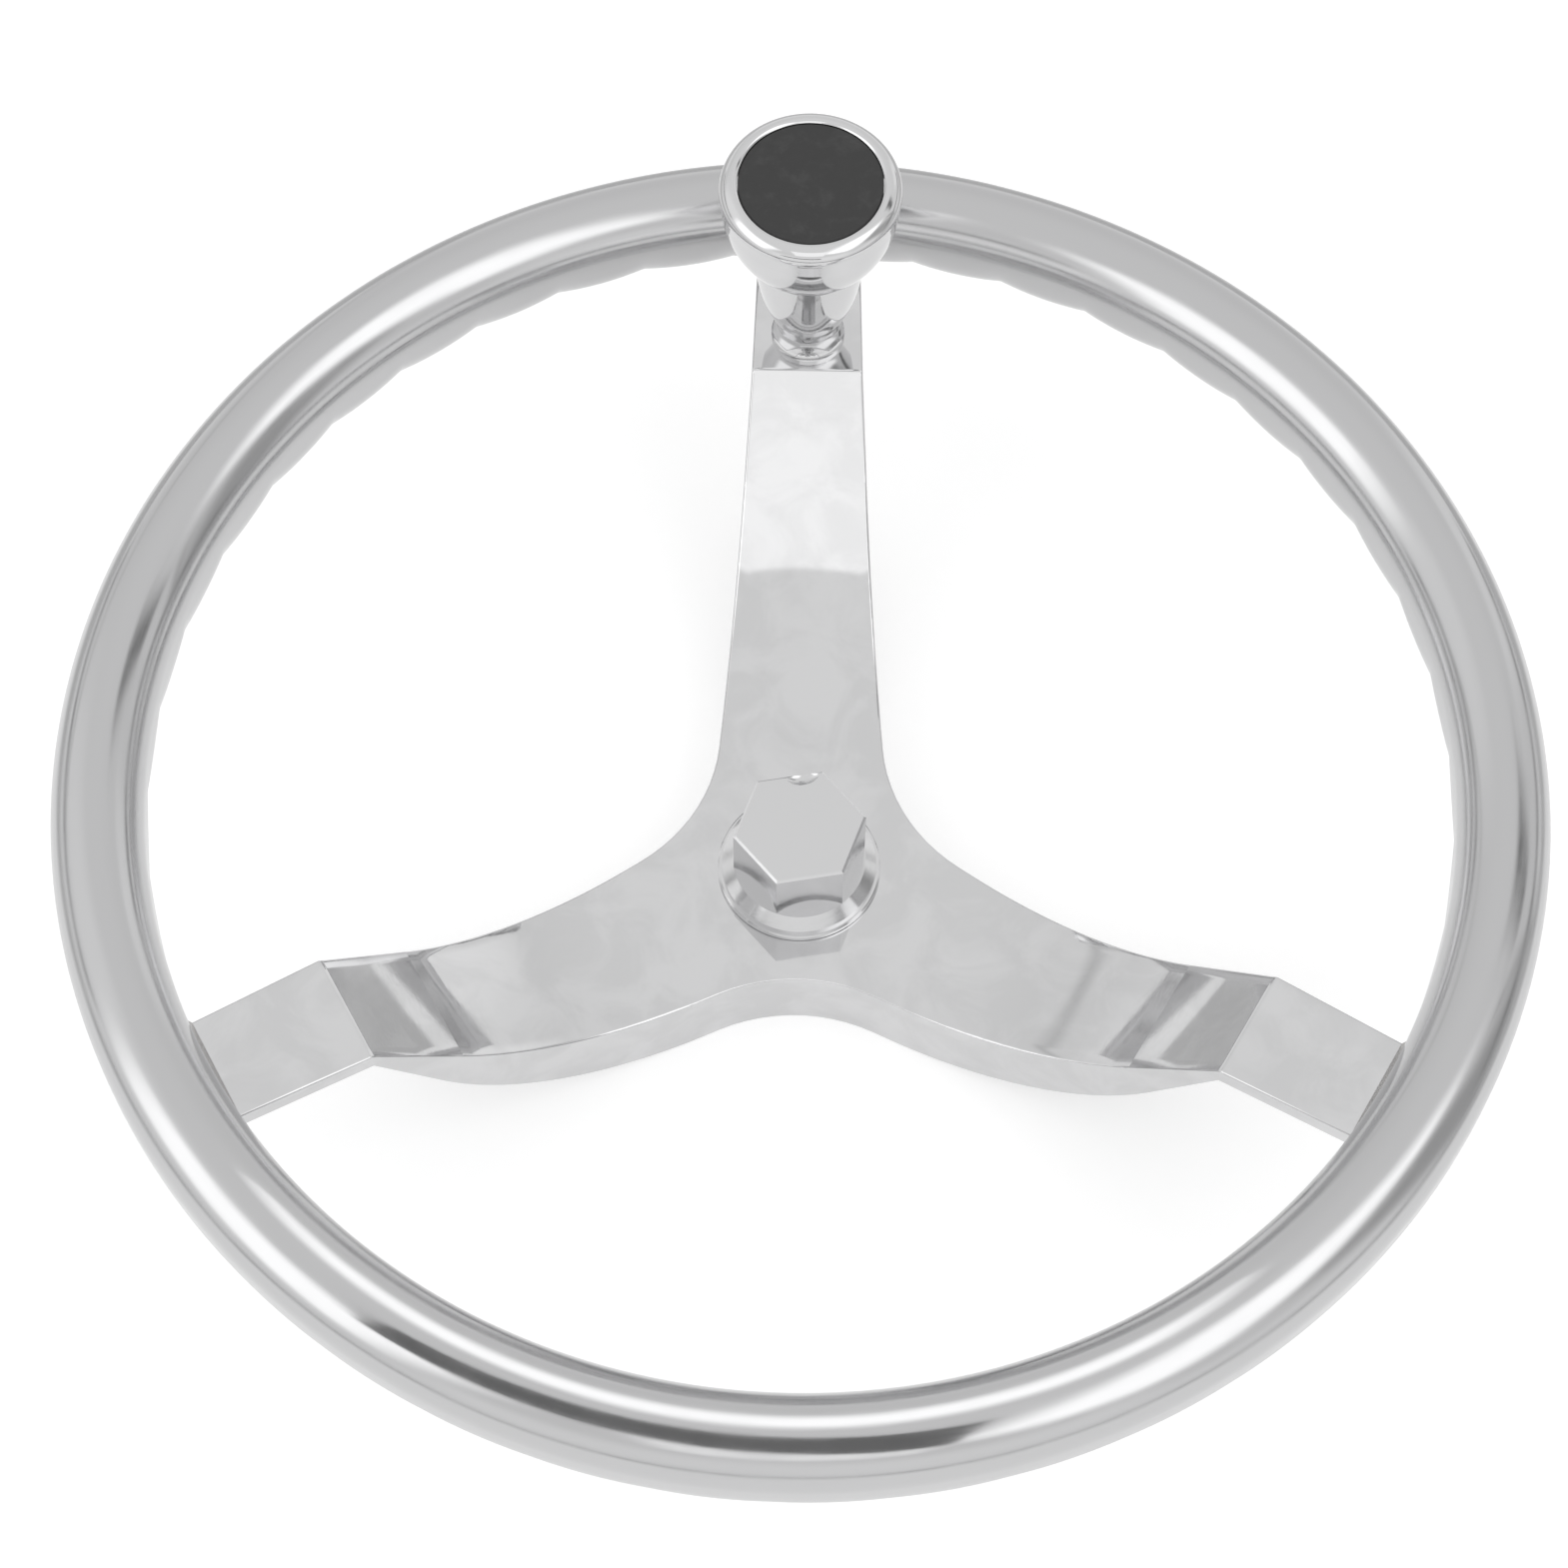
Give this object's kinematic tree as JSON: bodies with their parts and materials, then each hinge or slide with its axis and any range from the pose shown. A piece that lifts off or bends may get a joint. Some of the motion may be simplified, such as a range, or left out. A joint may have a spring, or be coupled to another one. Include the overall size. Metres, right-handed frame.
{
  "type": "boat steering wheel",
  "caption": "Polished stainless boat steering wheel with dished arms, finger grips under the rim, a tall cap nut and a spinner knob with a black disc.",
  "frame": {"origin": "middle of the hub's back face, where the wheel seats on the helm's tapered shaft", "axes": "+Z along the shaft towards the helmsman, +Y along the arm that carries the knob"},
  "size_m": [0.394, 0.394, 0.1456],
  "materials": {
    "polished_steel": "mirror polished stainless steel",
    "plain_steel": "plain stainless steel, as turned",
    "weld_steel": "dressed weld bead",
    "black_plastic": "matte",
    "bearing_plastic": "smooth self-lubricating plastic"
  },
  "bodies": {
    "wheel": {"rim_tube": "polished_steel", "spoke_spider": "polished_steel", "knob_spoke_weld": "weld_steel", "left_spoke_weld": "weld_steel", "right_spoke_weld": "weld_steel", "hub_boss": "polished_steel", "hub_weld": "weld_steel", "nut_washer": "polished_steel", "cap_nut": "polished_steel", "knob_neck": "polished_steel", "knob_thrust_washer": "bearing_plastic", "knob_stud": "plain_steel", "knob_retainer_washer": "plain_steel", "knob_retainer_nut": "plain_steel", "stud_washer": "plain_steel", "stud_spring_washer": "plain_steel", "stud_nut": "plain_steel"},
    "knob_head": {"knob_bowl": "polished_steel", "knob_lower_bush": "bearing_plastic", "knob_upper_bush": "bearing_plastic", "knob_top_ring": "polished_steel", "knob_cap_disc": "black_plastic"}
  },
  "joints": [
    {"name": "knob_spin", "type": "hinge", "parent": "wheel", "child": "knob_head", "pos_m": [0, 0.14568, 0.12742], "axis": [0, -0.0349, 0.9994], "continuous": true}
  ]
}
